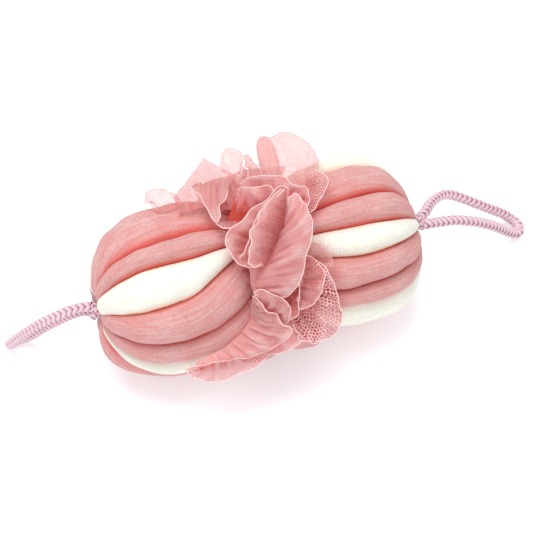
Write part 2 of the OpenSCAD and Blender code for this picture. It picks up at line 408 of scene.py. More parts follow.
def net_material():
    """Sheer nylon net: crossing threads with holes between, in ribs, with painted shade in deep pink down in
    its folds and near the waist, and painted light and shade on its wrinkles.
    """
    shader = Shader("sheer_net")
    along, reach, coarse = shader.weave()
    open_mesh = shader.ramp(coarse, 0.7, 0.95)
    pitch = shader.math("MULTIPLY_ADD", open_mesh, NET_COARSE_MM - NET_FINE_MM, NET_FINE_MM)
    crest = shader.node("Attribute", attribute_name="crest").outputs["Fac"]
    wobble = shader.times(shader.noise(shader.point(along, reach), 0.14, 2.0), 4.0)
    drawn = shader.times(shader.noise(shader.point(reach, along), 0.2, 2.0), 4.0)
    warped_along, warped_reach = shader.math("ADD", along, wobble), shader.math("ADD", reach, drawn)
    cells = 0.0
    for turn in (0, 60, 120):
        way = math.radians(turn)
        distance = shader.math("ADD", shader.times(warped_along, math.cos(way)),
                               shader.times(warped_reach, math.sin(way)))
        cell = shader.math("DIVIDE", distance, pitch)
        wave = shader.math("COSINE", shader.times(cell, 2.3 * math.pi))
        cells = shader.math("ADD", cells, wave)
    sheer = shader.math("SUBTRACT", shader.ramp(coarse, 0.58, 0.7), open_mesh)
    opening = shader.ramp(cells, -1.0, shader.math("MULTIPLY_ADD", sheer, -0.8, 0.4))
    threads = shader.math("SUBTRACT", 1.0, opening)
    patchy = shader.noise(shader.point(along, shader.times(reach, 0.3)), 0.16, 3.0)
    folded = shader.ramp(patchy, 0.35, 0.65)
    rib_phase = shader.math("ADD", shader.times(reach, 2 * math.pi / NET_RIB_MM), shader.times(wobble, 1.2))
    rib_wave = shader.math("SINE", rib_phase)
    rib = shader.math("MULTIPLY_ADD", rib_wave, 0.5, 0.5)
    hole = shader.times(opening, shader.ramp(coarse, 0.2, 0.78))
    hole = shader.times(hole, shader.math("MULTIPLY_ADD", folded, 0.3, 0.75), clamp=True)
    hole = shader.times(hole, shader.math("MULTIPLY_ADD", crest, -0.5, 1.2), clamp=True)
    cover = shader.math("SUBTRACT", 1.0, hole)

    place = shader.node("SeparateXYZ", {0: shader.node("TexCoord").outputs["Object"]})
    up = shader.math("SUBTRACT", place.outputs[2], AXIS_H)
    squares = shader.math("ADD", shader.times(place.outputs[1], place.outputs[1]), shader.times(up, up))
    from_axis = shader.math("SQRT", squares)
    # Painted shade: the net turns rosier near the waist, and deep pink close to the long axis or low in a
    # fold
    inner_shade = shader.ramp(from_axis, 0.074, 0.058)
    deep = shader.math("MAXIMUM", shader.ramp(from_axis, 0.054, 0.042), shader.ramp(crest, 0.1, -0.8))
    # Painted light and shade from the crest: paler on raised wrinkles, fold lines and rims, rosier in troughs
    # and towards the foot
    colour = shader.mix(shader.ramp(crest, 0.0, 0.55), NET_ROSE, NET_PINK)
    colour = shader.mix(shader.ramp(crest, 0.45, 0.92), colour, NET_PALE)
    colour = shader.mix(shader.times(sheer, 0.6), colour, NET_PALE)
    colour = shader.mix(shader.times(folded, 0.3), colour, NET_PINK)
    colour = shader.mix(shader.times(inner_shade, 0.3), colour, NET_ROSE)
    colour = shader.mix(shader.times(rib, 0.38), colour, NET_ROSE)
    thread_share = shader.times(threads, shader.math("MULTIPLY_ADD", open_mesh, 0.35, 0.2))
    colour = shader.mix(thread_share, colour, NET_THREAD)
    colour = shader.mix(deep, colour, NET_DEEP_SHADE)
    height = shader.math("ADD", threads, rib)
    normal = shader.bump(height, 0.6, 0.45 * MM)
    shader.finish(colour, 0.6, normal, sheen=0.3)
    glow = shader.node("BsdfTranslucent", {"Color": colour}).outputs[0]
    cloth = shader.node("MixShader", {0: 0.48, 1: shader.principled.outputs[0], 2: glow}).outputs[0]
    # Painted shade seen through the holes, deep pink where the painted shade is deepest
    hole_shade = shader.mix(open_mesh, NET_SEEN_THROUGH, NET_SHADED)
    clear = shader.node("BsdfTransparent", {"Color": shader.mix(deep, hole_shade, NET_DEEP_SHADE)}).outputs[0]
    seen = shader.node("MixShader", {0: cover, 1: clear, 2: cloth}).outputs[0]
    shader.feed(shader.output.inputs["Surface"], seen)
    return shader.material


def hem_material():
    """Rolled edge of the net: pale twisted threads."""
    shader = Shader("net_hem")
    along, around, _ = shader.weave()
    twist = shader.math("SINE", shader.math("ADD", shader.times(along, 5.0), around))
    colour = shader.mix(shader.math("MULTIPLY_ADD", twist, 0.2, 0.35), NET_EDGE, NET_PINK)
    return shader.finish(colour, 0.6, shader.bump(twist, 0.3, 0.1 * MM), sheen=0.4)


def foam_material():
    """Open-cell foam: pale, with fine pores."""
    shader = Shader("open_cell_foam")
    place = shader.node("NewGeometry").outputs["Position"]
    cells = shader.node("TexVoronoi", {"Vector": place, "Scale": 900.0}).outputs["Distance"]
    colour = shader.mix(cells, srgb(214, 200, 168), srgb(250, 243, 222))
    return shader.finish(colour, 0.9, shader.bump(cells, 0.6, 0.3 * MM))


FLOOR_GLOW = 0.3


def floor_material():
    """Plain white table, which glows a little so that shadows stay pale."""
    shader = Shader("white_table")
    place = shader.node("NewGeometry").outputs["Position"]
    grain = shader.noise(place, 6.0, 2.0)
    colour = shader.mix(grain, (0.84, 0.865, 0.89, 1), (0.85, 0.875, 0.9, 1))
    shader.feed(shader.principled.inputs["Emission Color"], (0.97, 0.98, 1, 1))
    shader.feed(shader.principled.inputs["Emission Strength"], FLOOR_GLOW)
    return shader.finish(colour, 0.7)


# ---------------------------------------------------------------- stuffed sleeves

RIB_PITCH_MM = 1.8
RIB_HEIGHT = 0.07 * MM
TIP_WAIST, TIP_POLE = math.radians(5), math.radians(175.5)
TIP_ROUNDING_MM = 7
FLOOR_CLEAR = 0.3 * MM
DIMPLE_DEPTH, DIMPLE_R = 6 * MM, 11 * MM
FOAM_SLACK, FOAM_STEP, FOAM_SECTION_POINTS = 1.6 * MM, 4 * MM, 16
PROUD_SLEEVES = (8,)
PROUD_R, PROUD_SPREAD, PROUD_LIFT = 16 * MM, 1.1, 1.6 * MM
PLEAT_HEIGHT = 0.35 * MM
SECTION_POINTS = 34
CREST_WIDTH = 1.25
PRESSED = 1.1


def even_stations(side, first_a, last_a, step):
    """Angles along a sleeve, an even step apart on its middle line, and their distances in millimetres."""
    fine = np.linspace(first_a, last_a, 600)
    s, r = outline(fine, side)
    middle = 1 - (SLEEVE_END_T + SLEEVE_SWELL * np.sin(fine)) / 2 / BALL_R
    line = together(BALL_S + (s - BALL_S) * middle, r * middle)
    reach = np.concatenate([[0], np.cumsum(np.linalg.norm(np.diff(line, axis=0), axis=1))]) * 1.2
    even = np.linspace(0, reach[-1], int(reach[-1] / step))
    return np.interp(even, reach, fine)[:, None], even[:, None] / MM


def stuffed_tube(side, index, step, section_points, slack=0.0, relief=None):
    """Surface of one stuffed sleeve, pressed between its neighbours and tied off at both ends.

    slack shrinks it all round; relief lifts the surface.
    Returns the points, row by row, and how far each is along and around in millimetres and up the crest.
    """
    rng = np.random.default_rng(100 * (side + 2) + index)
    a, along = even_stations(side, TIP_WAIST + slack / BALL_R, TIP_POLE - slack / BALL_R, step)
    theta = np.linspace(-math.pi, math.pi, section_points, endpoint=False)[None, :]
    to_tip = np.minimum(along, along[-1] - along) / TIP_ROUNDING_MM
    cap = np.sqrt(np.clip(1 - (1 - np.clip(to_tip, 0, 1)) ** 2, 0.0004, 1))
    along = along + 0 * theta
    around = theta * 14 * np.sin(a)
    swell = 1 + 0.035 * unevenness(waves(rng, 9, 16, 34), along, around)

    thickness = SLEEVE_END_T + SLEEVE_SWELL * np.sin(a)
    depth = thickness / 2 - (thickness / 2 - slack) * cap * np.cos(theta) * swell
    k = 1 - depth / BALL_R
    outline_s, outline_r = outline(a, side)
    belly = FULLER.get((side, index), 0) * np.exp(-(((a - FULLEST_A) / FULLER_SPREAD) ** 2))
    outline_s, outline_r = outline_s + belly, outline_r + FULLER_OUTWARD * belly
    r = outline_r * k
    s = BALL_S + (outline_s - BALL_S) * k
    s = s - np.where(a > math.pi / 2, DIMPLE_DEPTH * np.exp(-((r / DIMPLE_R) ** 2)), 0)

    first, last = crease_angle(side, index, outline_s), crease_angle(side, index + 1, outline_s)
    half = (last - first) % (2 * math.pi) / 2
    middle_r = outline_r * (1 - thickness / 2 / BALL_R)
    width = np.maximum(CREST_WIDTH * half * middle_r - slack, 0.3 * MM) * cap
    x = width * np.sin(theta) * swell / np.maximum(r, 0.5 * MM) / half
    pressed = PRESSED * x / (1 + np.abs(x) ** 6) ** (1 / 6) * (1 - slack / (12 * MM))
    if index in PROUD_SLEEVES and slack == 0:
        near_pole = np.exp(-((outline_r / PROUD_R) ** 2)) * (a > math.pi / 2)
        pressed = pressed * (1 + PROUD_SPREAD * near_pole)
        s = s + PROUD_LIFT * near_pole * (0.5 + 0.5 * np.cos(theta))
    points = about_axis(s, r, first + half * (1 + pressed), side)

    if relief is not None:
        outward = points - points.mean(axis=1, keepdims=True)
        outward /= np.maximum(np.linalg.norm(outward, axis=2, keepdims=True), 1e-6)
        points = points + outward * relief(rng, theta, along, around, to_tip)[..., None]
    points[..., 2] = np.maximum(points[..., 2], FLOOR_CLEAR + slack)
    # The last value, highest on the crest, drives the knit's painted crease shade and glow and its paler
    # crest
    return points, together(along, around, 0.5 + 0.5 * np.cos(theta))


def knit_relief(rng, theta, along, around, to_tip):
    """Ribs across a sleeve, and pleats where it is gathered at its ends."""
    rib_wave = waves(rng, 5, 6, 14)
    uneven = 1.2 * unevenness(rib_wave, around, along * 0.2)
    rib = np.cos(2 * math.pi * along / RIB_PITCH_MM + uneven)
    pleat = np.cos(9 * theta + 2 * unevenness(rib_wave, along, 0 * theta)) * np.exp(-to_tip * 0.9)
    return RIB_HEIGHT * rib * np.clip(to_tip * 2, 0, 1) + PLEAT_HEIGHT * pleat * np.clip(to_tip, 0, 1)


def tube_faces(rows, columns):
    """Faces of a closed tube of rings, with its two ends."""
    ends = [tuple(range(columns)), tuple(range(rows * columns - 1, (rows - 1) * columns - 1, -1))]
    return grid_faces(rows, columns, wrap_columns=True), ends


def lobe(side, index, material):
    """One knitted sleeve over its foam."""
    step = 0.4 * MM
    points, weave = stuffed_tube(side, index, step, SECTION_POINTS, relief=knit_relief)
    quads, ends = tube_faces(*points.shape[:2])
    name = f"{SIDE_NAME[side]}_{'cream' if is_cream(index) else 'pink'}_lobe_{index:02d}"
    piece = mesh_piece(name, points, quads, material, weave, ends)
    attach(piece, f"{SIDE_NAME[side]}_ball")
    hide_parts(f"{SIDE_NAME[side]}_sleeve_{index:02d}")


def foam_strips(side, material):
    """The twelve foam strips inside a ball's sleeves, as one piece."""
    strips = Parts()
    for index in range(1, SLEEVES + 1):
        points, weave = stuffed_tube(side, index, FOAM_STEP, FOAM_SECTION_POINTS, slack=FOAM_SLACK)
        strips.add(points, *tube_faces(*points.shape[:2]), weave)
    piece = strips.piece(f"{SIDE_NAME[side]}_foam_filling", material)
    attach(piece, f"{SIDE_NAME[side]}_ball")
    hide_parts(f"{SIDE_NAME[side]}_foam_strips")


# ---------------------------------------------------------------- braided cord

BRAID_PITCH = 17 * MM
STRANDS = 8
STRAND_R, STRAND_DEPTH, STRAND_SPREAD = 1.25 * MM, 0.95, 1.3
BRAID_R = 2.1 * MM
BRAID_WEAVE = 0.8 * MM

# The loops' routes, in millimetres, within about 4 mm of the middle lines of the CAD tubes
RIGHT_ROUTE = [
    (119, 2.6, 60), (122.5, 5, 59.4), (126, 8, 58), (131, 14, 55), (138, 20, 51), (146, 24.5, 46.5),
    (153.5, 25.5, 42), (162, 23.5, 36.5), (172, 20.5, 29.5), (183, 18.5, 20.5), (193, 17, 12),
    (200, 14, 5.5), (203.5, 8.5, 4), (201, 2.5, 4.6), (194.5, 0.5, 9), (185.5, -0.5, 19),
    (176, -1.5, 30), (166, -2, 39), (155, -2, 46.5), (144, -1.5, 51.5), (133, -2, 55),
    (127, -2.5, 57), (122.5, -3, 58.4), (119, -3, 59),
]
LEFT_ROUTE = [
    (-122.5, 1.5, 62.4), (-129, 2.5, 63), (-137.5, 3.5, 61.5), (-147.5, 5, 56.5),
    (-158.5, 8, 47.5), (-168, 12, 35.5), (-175.5, 17, 22), (-180, 21.5, 10.5),
    (-180.5, 25, 5), (-175, 26.5, 4.4), (-169, 25.5, 6.5), (-163, 22.5, 13),
    (-155.5, 18.5, 24), (-147, 14, 35), (-138, 10, 45), (-129.5, 6, 52.5),
    (-122.5, 1.5, 56.6),
]
ROUTES = {LEFT: LEFT_ROUTE, RIGHT: RIGHT_ROUTE}


def braid(name, route, material, step=0.7 * MM, scale=1.0):
    """Eight strands, four turning each way, that pass over and under each other along a route."""
    _, length = smooth_line(route, 50)
    line, length = smooth_line(route, int(length / step))
    _, side, up = carried_frames(line, (0.1, 0.2, 1))
    turns = max(1, round(length / BRAID_PITCH / scale))
    travel = np.linspace(0, 1, len(line))
    distance = travel * length / MM
    ring = np.linspace(0, 2 * math.pi, 8, endpoint=False)
    strands = Parts()
    for strand in range(STRANDS):
        direction = 1 if strand < STRANDS / 2 else -1
        start = 4 * math.pi * strand / STRANDS
        angle = direction * 2 * math.pi * turns * travel + start
        over = direction * np.cos(2 * angle)
        radius = (BRAID_R + BRAID_WEAVE * over) * scale
        centre = line + radius[:, None] * (np.cos(angle)[:, None] * side + np.sin(angle)[:, None] * up)
        along = np.gradient(centre, axis=0)
        along /= np.linalg.norm(along, axis=1)[:, None]
        outward = centre - line
        outward -= (outward * along).sum(1)[:, None] * along
        outward /= np.linalg.norm(outward, axis=1)[:, None]
        across = np.cross(along, outward)
        tube = centre[:, None, :] + STRAND_R * scale * (
            STRAND_DEPTH * np.cos(ring)[None, :, None] * outward[:, None, :]
            + STRAND_SPREAD * np.sin(ring)[None, :, None] * across[:, None, :])
        # shade drives the yarn's painted shade: highest on the crowns of strands that pass over
        shade = 0.5 + 0.5 * np.cos(ring)[None, :] * (0.5 + 0.5 * over[:, None])
        weave = together(distance[:, None], ring[None, :] * STRAND_R / MM, shade)
        strands.add(tube, grid_faces(*tube.shape[:2], wrap_columns=True), [], weave)
    return strands.piece(name, material), line, length


def hand_loop(side, material):
    """The braided loop at one pole, a free cord tied into the knot at both ends."""
    name = SIDE_NAME[side]
    route = np.array(ROUTES[side]) * MM
    piece, line, length = braid(f"{name}_braided_loop", route, material)
    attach(piece, f"{name}_loop")
    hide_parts(f"{name}_loop")
    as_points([tuple(p) for p in line[::4]] + [tuple(line[-1])])


# ---------------------------------------------------------------- knots, bindings and necks

def thread_tube(line, radius, sides=6):
    """A thin closed tube along a line: its points, faces, ends and weave."""
    _, side, up = carried_frames(line, (0.3, 0.5, 0.8))
    ring = np.linspace(0, 2 * math.pi, sides, endpoint=False)
    tube = line[:, None, :] + radius * (np.cos(ring)[None, :, None] * side[:, None, :]
                                        + np.sin(ring)[None, :, None] * up[:, None, :])
    distance = np.concatenate([[0], np.cumsum(np.linalg.norm(np.diff(line, axis=0), axis=1))]) / MM
    weave = together(distance[:, None], ring[None, :], 0.5)
    quads, ends = tube_faces(len(line), sides)
    return tube, quads, ends, weave


def coil_piece(name, node, body, material, side, near, far, near_r, far_r, turns, thread_r):
    """Thread wound round the long axis from near to far, in place of a plain CAD ring."""
    t = np.linspace(0, 1, int(turns * 40))
    line = about_axis(near + (far - near) * t, near_r + (far_r - near_r) * t, 2 * math.pi * turns * t, side)
    parts = Parts()
    parts.add(*thread_tube(line, thread_r, 8))
    piece = parts.piece(name, material)
    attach(piece, body)
    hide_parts(node)


def end_knot(side, material):
    """The knot at a pole: the braided cord wound twice round the loop's two ends, and crossed over itself."""
    turn = np.linspace(0, 4 * math.pi, 60)
    s = KNOT_S - POLE_DRAWN_IN[side] + (3.4 - 2.6 * np.cos(turn / 2)) * MM
    route = about_axis(s, (3.6 + 0.4 * np.sin(1.5 * turn)) * MM, turn, side)
    name = SIDE_NAME[side]
    piece, _, _ = braid(f"{name}_tied_knot", route, material, scale=0.72)
    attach(piece, f"{name}_knot")
    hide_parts(f"{name}_end_knot")


def core_cord(side, material):
    """The braided cord inside a ball."""
    name = SIDE_NAME[side]
    low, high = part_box(f"{name}_core_cord")
    near, far = min(abs(low.x), abs(high.x)), max(abs(low.x), abs(high.x)) - POLE_DRAWN_IN[side]
    route = about_axis(np.linspace(near, far, 6), 0, 0, side)
    piece, _, _ = braid(f"{name}_core_braid", route, material, step=2 * MM)
    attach(piece, f"{name}_ball")
    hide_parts(f"{name}_core_cord")


def waist_cord(material):
    """The short middle of the braided cord."""
    low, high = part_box("waist_cord")
    route = about_axis(np.linspace(low.x, high.x, 6), 0, 0)
    piece, _, _ = braid("waist_braid", route, material, step=0.5 * MM)
    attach(piece, "waist")
    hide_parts("waist_cord")


def neck(side, material):
    """Sleeves gathered in tight pleats where they pass through the waist."""
    name = SIDE_NAME[side]
    low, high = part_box(f"{name}_neck")
    near, far = min(abs(low.x), abs(high.x)), max(abs(low.x), abs(high.x))
    full_r = high.y - 0.5 * MM
    t = np.linspace(0, 1, 24)[:, None]
    phi = np.linspace(0, 2 * math.pi, 144, endpoint=False)[None, :]
    profile = full_r * np.clip(np.sqrt(1 - np.clip((t - 0.35) / 0.65, 0, 1) ** 2 * 0.7), 0, 1)
    profile = profile * np.clip(np.sqrt(1 - (1 - np.clip(t / 0.08, 0, 1)) ** 2), 0.05, 1)
    profile = profile * np.clip(np.sqrt(1 - np.clip((t - 0.92) / 0.08, 0, 1) ** 2), 0.05, 1)
    r = profile - 0.5 * MM * (1 - np.cos(24 * phi)) / 2
    points = about_axis(near + (far - near) * t, r, phi, side)
    # The third value, lowest in the pleats' grooves, is read by the knit's painted crease shade and glow
    weave = together(t * (far - near) / MM, phi * full_r / MM, 0.5 + 0.3 * np.cos(24 * phi))
    quads, ends = tube_faces(*points.shape[:2])
    piece = mesh_piece(f"{name}_gathered_neck", points, quads, material, weave, ends)
    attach(piece, f"{name}_neck")
    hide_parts(f"{name}_neck")


WAIST_THREAD_INSET = 0.8 * MM


def bindings(material):
    """The thread windings at the poles and the waist."""
    for side in (LEFT, RIGHT):
        name = SIDE_NAME[side]
        shift = 1 * MM - POLE_DRAWN_IN[side]
        coil_piece(f"{name}_pole_whipping", f"{name}_pole_binding", f"{name}_ball", material, side,
                   BINDING_NEAR + shift, BINDING_FAR + shift, 8 * MM, 5 * MM, 9, 0.6 * MM)
    for name, node, body, turns in (("waist_whipping", "waist_binding", "waist", 3.5),
                                    ("ruffle_tie_cord", "ruffle_tie", "ruffle", 2.5)):
        low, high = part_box(node)
        coil_r = high.y - WAIST_THREAD_INSET
        coil_piece(name, node, body, material, RIGHT, low.x + WAIST_THREAD_INSET, high.x - WAIST_THREAD_INSET,
                   coil_r, coil_r, turns, 0.75 * MM)


# ---------------------------------------------------------------- net ruffle

# The strip's width is assumed
TIE_R = 14 * MM
NET_STEP = 1.3 * MM
HEM_R = 0.32 * MM
BALL_CLEAR = 1.3 * MM

# Folds of the net that face up and forward, each a sheet from its foot to its rim. Their points are
# (x, distance from the long axis, angle about it from straight down), in millimetres and degrees.
# cup is how far a fold bellies out, coarse how open its mesh is, and turned puts its ribs the other way.
# foot_shade is how much painted shade darkens a fold towards its foot, and wrinkled scales its wrinkles.
LEFT_FOLDS = {
    "top_flap": dict(cup=3, coarse=0.71,
        rim=[(-70, 64, 142), (-66, 69, 128), (-56, 70, 126), (-48, 66, 142)],
        foot=[(-64, 60, 152), (-56, 61, 154), (-46, 62, 152)]),
    "flat_petal_back": dict(cup=3, coarse=0.56, foot_shade=0.5,
        rim=[(-50, 64, 144), (-36, 72, 134), (-22, 82, 127), (-19, 80, 129), (-13, 75, 137), (-3, 70, 150)],
        foot=[(-52, 61, 160), (-34, 62, 162), (-18, 58, 166), (-2, 56, 168)]),
    "flat_petal_front": dict(cup=4, coarse=0.45, foot_shade=0.1,
        rim=[(-37, 69, 143), (-35, 68, 156), (-34, 67, 170), (-31, 66, 180), (-28, 67, 176), (-24, 69, 169),
             (-16, 70, 162)],
        foot=[(-36, 67, 141), (-26, 70, 144), (-16, 71, 147), (-8, 70, 150)]),
    "low_net": dict(cup=2, coarse=0.84, turned=True, foot_shade=0.9,
        rim=[(-75, 70, 262), (-71, 75, 267), (-60, 78, 272), (-45, 78, 273), (-28, 76, 270), (-14, 72, 268)],
        foot=[(-72, 66, 266), (-56, 64, 270), (-34, 58, 275), (-10, 50, 280)]),
    "fan": dict(cup=3, coarse=0.35, turned=True, foot_shade=-0.1,
        rim=[(-22, 64, 229), (-16, 70, 236), (-7, 75, 245), (-2, 77, 248), (-3, 77, 253), (-15, 74, 261),
             (-33, 72, 266), (-45, 70, 265), (-62, 70, 263), (-74, 70, 262)],
        foot=[(-19, 54, 230), (-22, 52, 240), (-26, 55, 252), (-44, 61, 262), (-66, 66, 263)]),
}
MIDDLE_FOLDS = {
    "upright": dict(cup=3, coarse=0.66,
        rim=[(-11, 74, 128), (-8, 79, 124), (-3, 84, 124), (2, 83, 128), (4, 78, 137), (-1, 70, 148)],
        foot=[(-9, 58, 150), (-3, 56, 152), (2, 56, 154)]),
    "small_loop": dict(cup=3, coarse=0.6,
        rim=[(5, 70, 136), (7, 77, 128), (10, 77, 128), (12, 70, 138)],
        foot=[(4, 62, 150), (12, 62, 150)]),
    "pocket_back": dict(cup=2, coarse=0.35, foot_shade=2,
        rim=[(-6, 70, 158), (-2, 73, 158), (5, 75, 160), (18, 75, 164), (25, 74, 171), (34, 71, 176),
             (33, 65, 184)],
        foot=[(-8, 48, 168), (6, 44, 176), (20, 50, 184), (26, 54, 188)]),
    "pocket_front": dict(cup=4, coarse=0.3, foot_shade=2.4,
        rim=[(-9, 69, 161), (-6, 70, 161), (-2, 73, 166), (5, 76, 170), (10, 76, 171), (13, 74, 176)],
        foot=[(-24, 50, 176), (-18, 44, 184), (-8, 38, 192), (4, 38, 196)]),
    "gap_fill": dict(cup=2, coarse=0.2,
        rim=[(-20, 61, 206), (-19, 60, 214), (-20, 59, 222), (-19, 58, 232)],
        foot=[(-2, 58, 206), (-2, 56, 216), (-4, 56, 226), (-4, 58, 234)]),
    "small_net": dict(cup=1, coarse=0.8,
        rim=[(-31, 65, 179), (-26, 66, 185), (-18, 67, 187)],
        foot=[(-27, 58, 174), (-16, 58, 178)]),
    "long_fold_outer": dict(cup=6, coarse=0.4, foot_shade=1,
        rim=[(-17, 62, 212), (-23, 64, 209), (-28, 66, 201), (-32, 68, 195), (-23, 71, 188), (-3, 75, 181),
             (10, 78, 177), (16, 80, 176), (19, 80, 179)],
        foot=[(-12, 52, 214), (-16, 50, 206), (-8, 46, 200), (6, 48, 194), (18, 62, 186)]),
    "long_fold_middle": dict(cup=3, coarse=0.4,
        rim=[(17, 81, 178), (8, 80, 182), (0, 79, 187), (-7, 78, 192)],
        foot=[(16, 70, 184), (9, 64, 190), (2, 62, 196), (-4, 62, 200)]),
    "long_fold_inner": dict(cup=9, coarse=0.45, foot_shade=0.7,
        rim=[(16, 80, 177), (4, 79, 182), (-7, 78, 190), (-14, 77, 195), (-15, 77, 201), (-21, 75, 208),
             (-18, 75, 212), (-12, 74, 212)],
        foot=[(19, 74, 180), (13, 64, 190), (6, 58, 200), (-1, 56, 210), (-8, 58, 216)]),
    "boat_fold": dict(cup=3, coarse=0.4, foot_shade=0.5,
        rim=[(-20, 64, 226), (-14, 67, 226), (-6, 72, 231), (-1, 75, 237), (-2, 72, 247), (-8, 68, 250)],
        foot=[(-20, 62, 237), (-15, 60, 245), (-8, 58, 254)]),
    "long_fold_crease": dict(cup=2, coarse=0.45, foot_shade=0.6,
        rim=[(13, 79, 178), (3, 78, 183), (-8, 75, 190), (-17, 73, 199), (-24, 69, 205)],
        foot=[(12, 66, 184), (2, 60, 190), (-8, 56, 198), (-15, 56, 206)]),
}
RIGHT_FOLDS = {
    "dome": dict(cup=10, coarse=0.64, wrinkled=0.5, foot_shade=0,
        rim=[(14, 68, 138), (16, 78, 130), (19, 85, 127), (23, 87, 129), (28, 85, 128), (37, 86, 125),
             (45, 83, 124), (52, 77, 127), (55, 70, 132), (53, 66, 150)],
        foot=[(12, 58, 152), (26, 56, 160), (38, 58, 164), (48, 60, 162)]),
    "dome_hem": dict(cup=6, coarse=0.68, wrinkled=0.5, foot_shade=0,
        rim=[(14, 69, 138), (16, 79, 131), (20, 86, 129), (25, 85, 131), (27, 80, 139), (25, 74, 148)],
        foot=[(12, 58, 152), (18, 56, 156), (24, 60, 158)]),
    "small_patch": dict(cup=3, coarse=0.8,
        rim=[(46, 68, 160), (51, 68, 170), (44, 66, 180), (32, 63, 188)],
        foot=[(38, 60, 162), (34, 58, 172), (27, 56, 182)]),
    "thin_glaze": dict(cup=2, coarse=0.78,
        rim=[(22, 64, 204), (33, 64, 210), (38, 64, 220), (34, 64, 228)],
        foot=[(20, 58, 208), (26, 58, 218), (28, 60, 226)]),
    "coarse_petal": dict(cup=4, coarse=0.92,
        rim=[(20, 63, 213), (28, 67, 219), (33, 71, 229), (34, 74, 244), (32, 77, 256), (23, 78, 262),
             (11, 78, 262), (2, 76, 256)],
        foot=[(16, 56, 220), (16, 50, 234), (10, 48, 248), (2, 50, 256)]),
    "coarse_fold": dict(cup=4, coarse=0.55,
        rim=[(20, 64, 213), (26, 67, 219), (28, 70, 226), (26, 70, 232), (19, 70, 240), (7, 69, 244)],
        foot=[(14, 52, 220), (10, 48, 232), (2, 50, 244)]),
    "strip": dict(cup=2, coarse=0.3,
        rim=[(19, 71, 212), (10, 71, 228), (6, 71, 240), (-2, 70, 250)],
        foot=[(18, 56, 226), (14, 50, 238), (4, 50, 252)]),
    "big_petal": dict(cup=8, coarse=0.3, turned=True,
        rim=[(18, 76, 181), (24, 77, 180), (27, 79, 188), (28, 79, 198), (23, 79, 207), (17, 78, 214),
             (11, 76, 224), (2, 73, 231), (-5, 70, 233)],
        foot=[(14, 62, 186), (4, 58, 200), (-6, 60, 210), (-13, 63, 217), (-17, 64, 223), (-7, 66, 232)]),
    "under_fold": dict(cup=2, coarse=0.35,
        rim=[(0, 72, 250), (5, 76, 259), (-3, 76, 265), (-16, 74, 267)],
        foot=[(2, 52, 250), (-4, 50, 262), (-14, 56, 270)]),
}
FOLDS = {"left": LEFT_FOLDS, "middle": MIDDLE_FOLDS, "right": RIGHT_FOLDS}
HEMLESS = ("gap_fill", "thin_glaze")
# How the folds stand round the back and underneath, out of sight from the front
BACK_FROM, BACK_TO = 280, 480
BACK_FOLDS = 10
BACK_HEIGHTS = [(280, 62), (320, 60), (345, 64), (370, 70), (400, 78), (430, 76), (450, 68), (480, 63)]
TIER_X = {"left": -19, "middle": 0, "right": 19}


def ball_radius(x):
    """Radius of a ball's outside about the long axis, at x."""
    from_middle = np.abs(x) - BALL_S
    blunt = from_middle < 0
    power = np.where(blunt, WAIST_BLUNTNESS, 2)
    share = np.clip(np.abs(from_middle) / np.where(blunt, WAIST_REACH[LEFT], POLE_REACH[LEFT]), 0, 1)
    return BALL_R * (1 - share**power) ** (1 / power)


def clear_of_neighbours(points):
    """Moves net off the balls, and off the surface that the scrubber lies on."""
    y, z = points[..., 1], points[..., 2] - AXIS_H
    r = np.hypot(y, z)
    need = ball_radius(points[..., 0]) + BALL_CLEAR
    grow = np.maximum(1, need / np.maximum(r, 1e-6))
    moved = together(points[..., 0], y * grow, z * grow + AXIS_H)
    moved[..., 2] = np.maximum(moved[..., 2], 0.6 * MM)
    return moved


def placed(corners):
    """Points for a fold's (x, distance, angle) corners."""
    return np.array([about_axis(x * MM, r * MM, math.radians(angle)) for x, r, angle in corners])


def fold_of_net(rng, rim, foot, cup, coarse, turned=False, foot_shade=0.3, wrinkled=1):
    """One fold of net, from its foot to its rim. Returns its points and their weave."""
    step = NET_STEP * 1
    rim, foot = placed(rim), placed(foot)
    length = smooth_line(rim, 50)[1]
    columns = max(14, int(length / step))
    edge, start = smooth_line(rim, columns)[0], smooth_line(foot, columns)[0]
    reach = np.linalg.norm(edge - start, axis=1)
    rows = max(8, int(reach.max() / step))
    u, v = np.linspace(0, 1, columns), np.linspace(0, 1, rows)[:, None]

    points = start[None] + (edge - start)[None] * v[..., None]
    outward = points.mean(axis=(0, 1)) - np.array([points[..., 0].mean(), 0, AXIS_H])
    outward /= np.linalg.norm(outward)
    belly = cup * MM * 4 * v * (1 - v) * np.sin(math.pi * np.clip(u, 0.06, 0.94)) ** 0.5
    points = points + outward * belly[..., None]

    across = np.gradient(edge, axis=0)
    normal = np.cross(across, edge - start)
    normal /= np.maximum(np.linalg.norm(normal, axis=1)[:, None], 1e-9)
    along = u * length / MM
    out = v * reach / MM
    pleats = np.sin(2 * math.pi * along / 9 + rng.uniform(0, 6)) + 0.6 * np.sin(2 * math.pi * along / 5.3)
    crumple = unevenness(waves(rng, 8, 10, 26), along, out)
    fine = unevenness(waves(rng, 6, 4, 8), along, out)
    lift = 1.1 * pleats * np.sin(math.pi * v) ** 0.7 * (1 - 0.6 * v)
    lift = wrinkled * (lift + 1.4 * crumple * (0.4 + 0.6 * v) + 0.15 * fine)
    # crest carries painted light and shade: paler on raised wrinkles, painted highlights along fold lines and
    # at the rim, and painted shade towards the foot by foot_shade
    fold_line_phase = math.pi * along / 15 + 0.5 * crumple + rng.uniform(0, 3)
    fold_line_highlight = np.exp(-(np.sin(fold_line_phase) / 0.12) ** 2)
    crest = 0.52 + 0.4 * np.tanh(lift / 1.5) + 0.25 * fold_line_highlight * np.sin(math.pi * v) + 0.25 * v**4
    crest = crest - foot_shade * (1 - v)
    points = points + normal[None] * (lift * MM)[..., None]
    ways = (out, along) if turned else (along, out)
    weave = together(*ways, coarse, np.clip(crest, -1, 1))
    return clear_of_neighbours(points), weave


